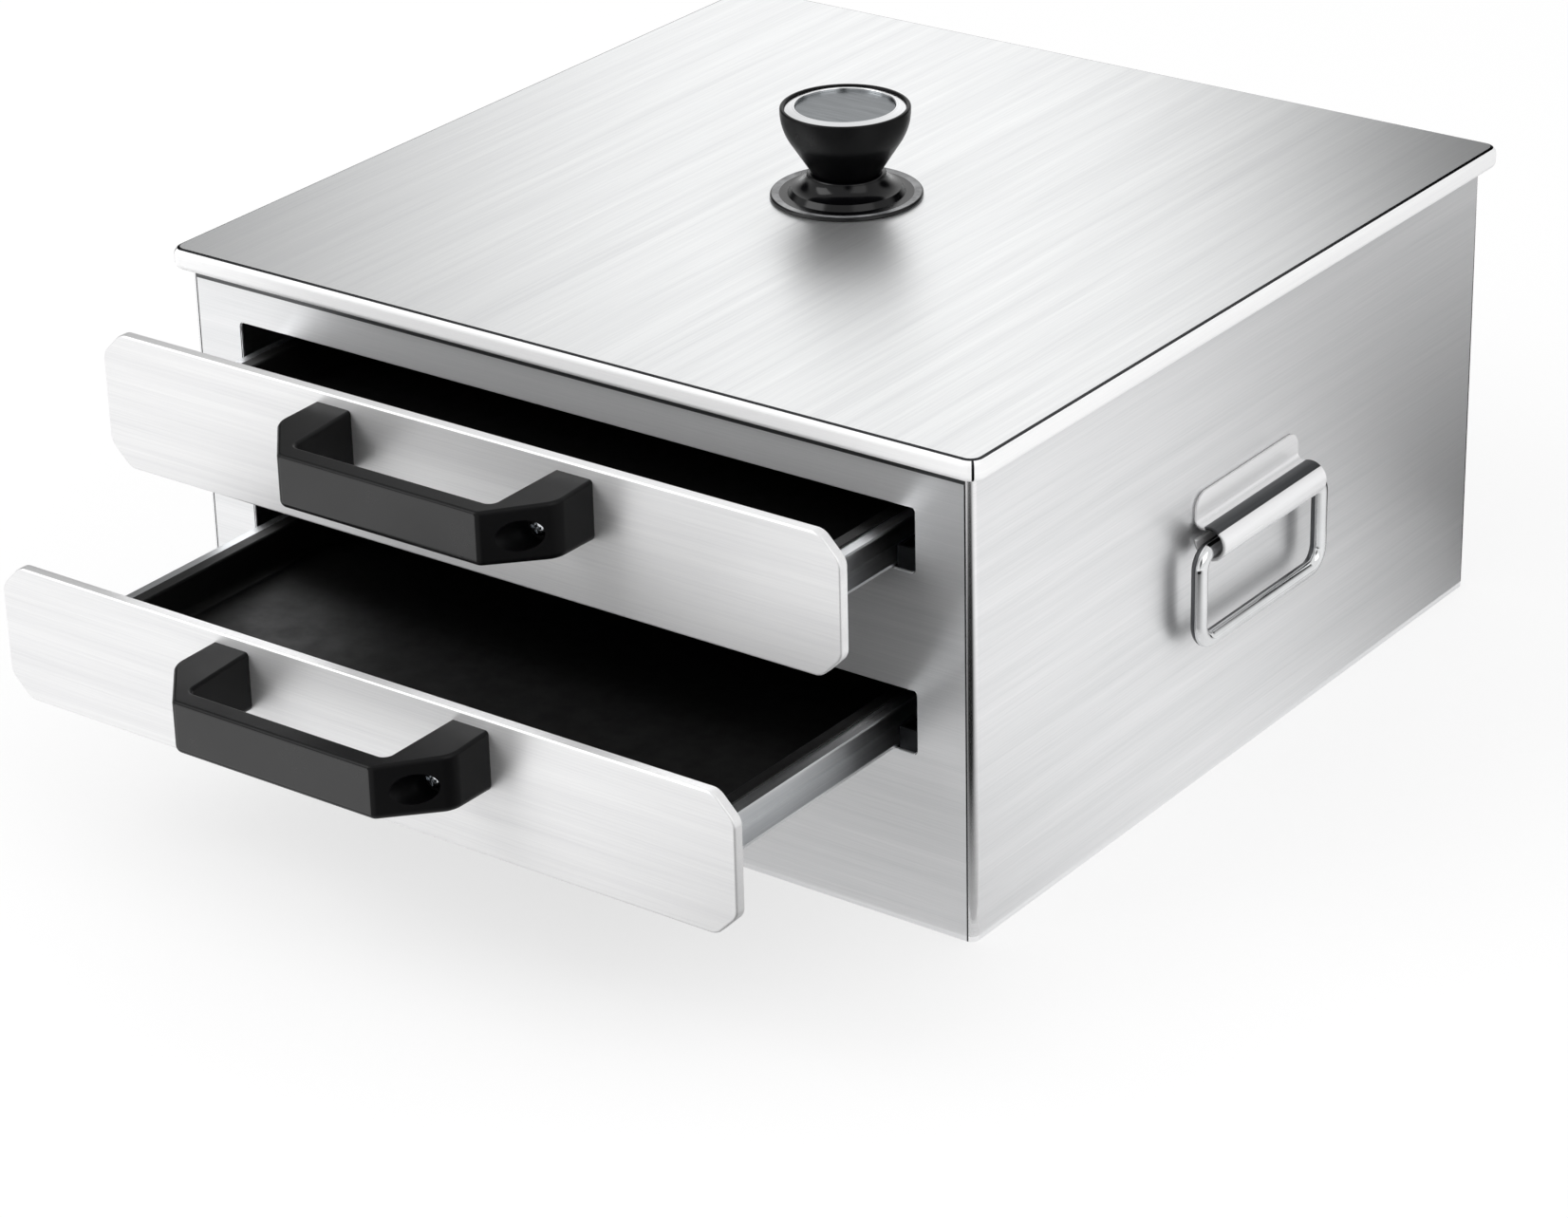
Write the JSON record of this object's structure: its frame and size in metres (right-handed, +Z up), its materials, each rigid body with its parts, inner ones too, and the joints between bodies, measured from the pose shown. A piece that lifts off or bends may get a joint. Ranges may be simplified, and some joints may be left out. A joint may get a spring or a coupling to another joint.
{
  "type": "rice noodle roll steamer",
  "caption": "Square stainless box steamer with a loose knobbed lid, drop handles on its sides and sliding tray drawers with bow handles in its front.",
  "frame": {"origin": "middle of the body's base, on the surface that the steamer stands on", "axes": "+X to the right of someone who faces the drawers, +Y to the back, away from the drawers, +Z up"},
  "size_m": [0.3698, 0.506, 0.2175],
  "materials": {
    "brushed_stainless": "satin, rolled and brushed",
    "plain_stainless": "mill finish, folded",
    "polished_steel_rod": "polished",
    "black_bakelite": "moulded, glossy",
    "black_coated_steel": "satin non-stick coating",
    "plated_steel": "zinc plated",
    "brass": "turned",
    "spun_aluminium": "spun, bright",
    "dark_brushed_disc": "brushed, dark anodised"
  },
  "bodies": {
    "body": {"body_shell": "brushed_stainless", "base_pan": "plain_stainless", "left_handle_strap": "brushed_stainless", "right_handle_strap": "brushed_stainless", "upper_left_runner": "plain_stainless", "upper_right_runner": "plain_stainless", "lower_left_runner": "plain_stainless", "lower_right_runner": "plain_stainless"},
    "lid": {"lid_sheet": "brushed_stainless", "knob_base": "black_bakelite", "knob_grip": "black_bakelite", "knob_insert": "brass", "knob_ring": "spun_aluminium", "knob_disc": "dark_brushed_disc", "knob_washer": "plated_steel", "knob_screw": "plated_steel"},
    "upper_drawer": {"upper_front_panel": "brushed_stainless", "upper_left_channel": "plain_stainless", "upper_right_channel": "plain_stainless", "upper_rear_bar": "plain_stainless", "upper_tray": "black_coated_steel", "upper_handle": "black_bakelite", "upper_handle_screws": "plated_steel", "upper_handle_nuts": "plated_steel"},
    "lower_drawer": {"lower_front_panel": "brushed_stainless", "lower_left_channel": "plain_stainless", "lower_right_channel": "plain_stainless", "lower_rear_bar": "plain_stainless", "lower_tray": "black_coated_steel", "lower_handle": "black_bakelite", "lower_handle_screws": "plated_steel", "lower_handle_nuts": "plated_steel"},
    "left_bail": {"left_handle_bail": "polished_steel_rod"},
    "right_bail": {"right_handle_bail": "polished_steel_rod"}
  },
  "joints": [
    {"name": "upper_drawer_slide", "type": "slide", "parent": "body", "child": "upper_drawer", "axis": [0, -1, 0], "range_m": [-0.0544, 0.1756]},
    {"name": "lower_drawer_slide", "type": "slide", "parent": "body", "child": "lower_drawer", "axis": [0, -1, 0], "range_m": [-0.1137, 0.1163]},
    {"name": "lid_lift", "type": "slide", "parent": "body", "child": "lid", "axis": [0, 0, 1], "range_m": [0, 0.06]},
    {"name": "left_bail_swing", "type": "hinge", "parent": "body", "child": "left_bail", "pos_m": [-0.1784, 0.0025, 0.096], "axis": [0, 1, 0], "range_deg": [-5, 180]},
    {"name": "right_bail_swing", "type": "hinge", "parent": "body", "child": "right_bail", "pos_m": [0.1784, 0.0025, 0.096], "axis": [0, -1, 0], "range_deg": [-5, 180]}
  ]
}
